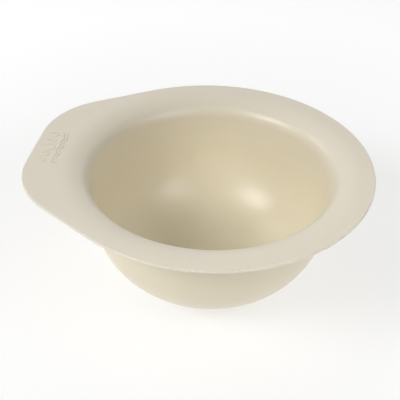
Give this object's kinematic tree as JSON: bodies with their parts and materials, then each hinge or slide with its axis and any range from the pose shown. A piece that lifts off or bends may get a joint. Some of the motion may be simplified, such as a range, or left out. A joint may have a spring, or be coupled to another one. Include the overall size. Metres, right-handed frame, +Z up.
{
  "type": "handled hospital bowl",
  "caption": "Round one-piece plastic bowl with a wide flat rim that widens into a flat handle tab, for washing, vomit or waste at the bedside.",
  "frame": {"origin": "centre of the foot ring's underside, on the surface that the bowl stands on, on the axis of the round bowl", "axes": "+Z up out of the bowl's mouth; -X towards the handle tab; the bowl is the same on both sides of the XZ plane"},
  "size_m": [0.255, 0.24, 0.0985],
  "materials": {
    "bowl_plastic": "satin"
  },
  "bodies": {
    "root": {"bowl": "bowl_plastic"}
  },
  "joints": []
}
